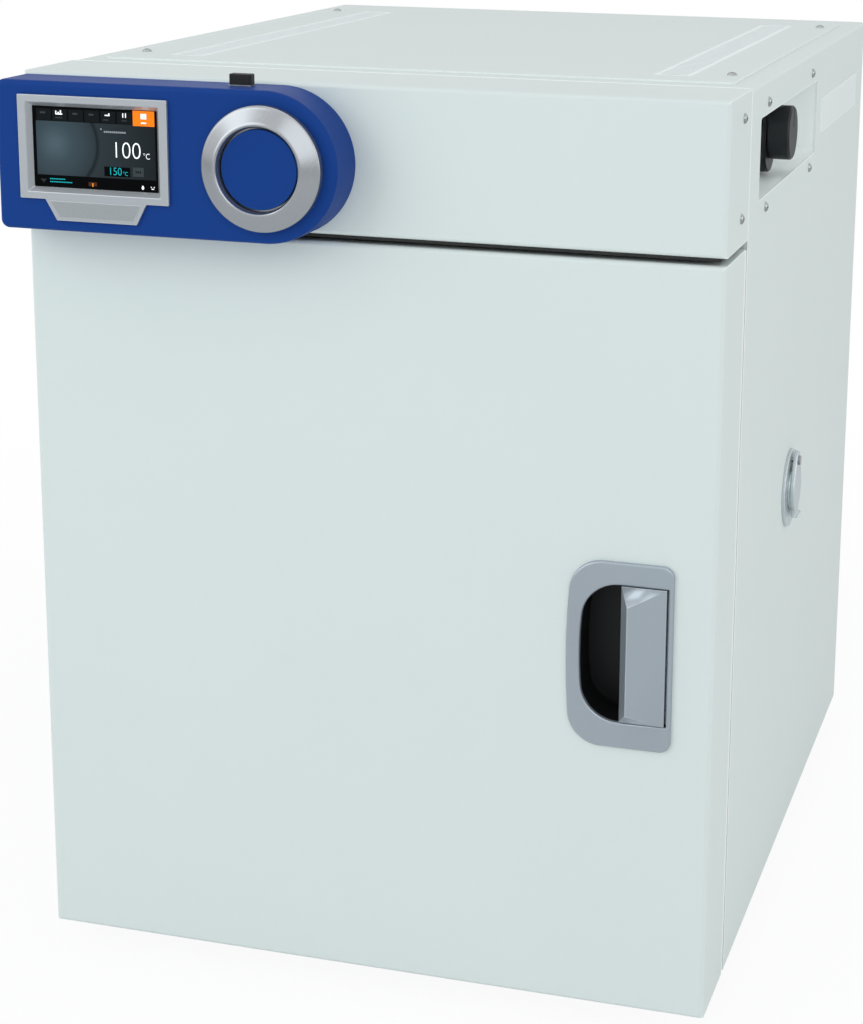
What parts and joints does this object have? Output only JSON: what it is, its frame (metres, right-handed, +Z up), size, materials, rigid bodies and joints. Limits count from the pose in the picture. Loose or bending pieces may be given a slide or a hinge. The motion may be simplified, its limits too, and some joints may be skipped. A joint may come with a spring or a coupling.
{
  "type": "laboratory incubator",
  "caption": "Benchtop heated chamber with an insulated steel door, inner glass door, wire shelves, rear fan, blue front control housing with screen and jog dial",
  "frame": {"origin": "middle of the cabinet's width and of the whole depth, on the bench under the feet", "axes": "+X to the right side with the access port, +Y from the door to the rear panel, +Z up"},
  "size_m": [0.5126, 0.684, 0.6716],
  "materials": {
    "panel_paint": "fine powder coat",
    "stainless": "brushed",
    "zinc_steel": "galvanized",
    "screw_steel": "plated",
    "silver_paint": "satin silver",
    "blue_plastic": "smooth",
    "black_plastic": "fine grain",
    "rubber_black": "matte",
    "silicone_grey": "matte",
    "silicone_pale": "matte",
    "mineral_wool": "fibrous",
    "glass_clear": "clear",
    "screen_glass": "gloss",
    "board_green": "solder mask",
    "brass": "plain",
    "heater_sheath": "heat tinted",
    "cast_aluminium": "fine",
    "motor_paint": "semi gloss",
    "plate_white": "plain film"
  },
  "bodies": {
    "cabinet": {"outer_wrap": "panel_paint", "top_cover": "panel_paint", "top_vents": "panel_paint", "rear_panel": "panel_paint", "bottom_plate": "zinc_steel", "feet": "rubber_black", "front_frame": "panel_paint", "fascia": "panel_paint", "cabinet_screws": "screw_steel", "chamber_liner": "stainless", "insulation": "mineral_wool", "insulation_cover": "zinc_steel", "electronics_deck": "zinc_steel", "shelf_uprights": "stainless", "shelf_runners": "stainless", "wire_shelves": "screw_steel", "rear_baffle": "stainless", "ring_heater": "heater_sheath", "fan_motor": "motor_paint", "temperature_sensor": "stainless", "side_pocket": "panel_paint", "limiter_thermostat": "black_plastic", "switch_body": "black_plastic", "port_sleeve": "silver_paint", "port_cover_pin": "screw_steel", "side_plate": "plate_white", "control_housing": "blue_plastic", "display_bezel": "silver_paint", "display_glass": "screen_glass", "display_board": "board_green", "dial_encoder": "zinc_steel", "usb_socket": "screw_steel", "control_board": "board_green", "power_supply": "zinc_steel", "power_inlet": "black_plastic", "catch_spring": "stainless", "hinge_brackets": "stainless", "hinge_pins": "screw_steel", "glass_hinge_brackets": "stainless", "glass_seal": "silicone_pale"},
    "door": {"door_skin": "panel_paint", "door_inner_panel": "stainless", "door_insulation": "mineral_wool", "door_gasket": "silicone_grey", "hinge_bushes": "brass", "handle_frame": "silver_paint", "handle_cup": "black_plastic", "paddle_pin": "screw_steel", "paddle_spring": "screw_steel"},
    "paddle": {"handle_paddle": "silver_paint", "latch_arm": "stainless"},
    "glass_door": {"glass_pane": "glass_clear", "glass_clips": "stainless"},
    "jog_ring": {"jog_ring": "silver_paint"},
    "dial_button": {"dial_button": "blue_plastic"},
    "limiter_knob": {"limiter_knob": "black_plastic"},
    "power_rocker": {"power_rocker": "black_plastic"},
    "port_cover": {"port_cover": "silver_paint"},
    "usb_cap": {"usb_cap": "black_plastic"},
    "fan_impeller": {"fan_impeller": "cast_aluminium"}
  },
  "joints": [
    {"name": "door_hinge", "type": "hinge", "parent": "cabinet", "child": "door", "pos_m": [-0.236, -0.2547, 0.29], "axis": [0, 0, -1], "range_deg": [0, 120], "deforming": ["catch_spring"]},
    {"name": "glass_door_hinge", "type": "hinge", "parent": "cabinet", "child": "glass_door", "pos_m": [-0.187, -0.2147, 0.2815], "axis": [0, 0, -1], "range_deg": [0, 100]},
    {"name": "paddle_pivot", "type": "hinge", "parent": "door", "child": "paddle", "pos_m": [0.2136, -0.2897, 0.28555], "axis": [0, 0, 1], "range_deg": [0, 13], "stiffness_Nm_per_rad": 1.2, "deforming": ["paddle_spring", "catch_spring"]},
    {"name": "jog_ring_turn", "type": "hinge", "parent": "cabinet", "child": "jog_ring", "pos_m": [-0.0561, -0.3294, 0.6119], "axis": [0, -1, 0], "continuous": true},
    {"name": "dial_button_press", "type": "slide", "parent": "cabinet", "child": "dial_button", "axis": [0, 1, 0], "range_m": [0, 0.0015], "stiffness_N_per_m": 400},
    {"name": "limiter_knob_turn", "type": "hinge", "parent": "cabinet", "child": "limiter_knob", "pos_m": [0.25, -0.0577, 0.6159], "axis": [1, 0, 0], "range_deg": [-135, 135]},
    {"name": "power_rocker_tip", "type": "hinge", "parent": "cabinet", "child": "power_rocker", "pos_m": [0.2165, 0.0093, 0.5993], "axis": [0, 0, 1], "range_deg": [0, 14]},
    {"name": "port_cover_swing", "type": "hinge", "parent": "cabinet", "child": "port_cover", "pos_m": [0.2542, 0.0023, 0.3485], "axis": [1, 0, 0], "range_deg": [-150, 150]},
    {"name": "usb_cap_pull", "type": "slide", "parent": "cabinet", "child": "usb_cap", "axis": [0, 0, 1], "range_m": [0, 0.012]},
    {"name": "fan_spin", "type": "hinge", "parent": "cabinet", "child": "fan_impeller", "pos_m": [0, 0.1889, 0.2815], "axis": [0, 1, 0], "continuous": true}
  ],
  "couplings": [
    {"joint": "glass_door_hinge", "follows": "door_hinge", "ratio": 0.8}
  ]
}
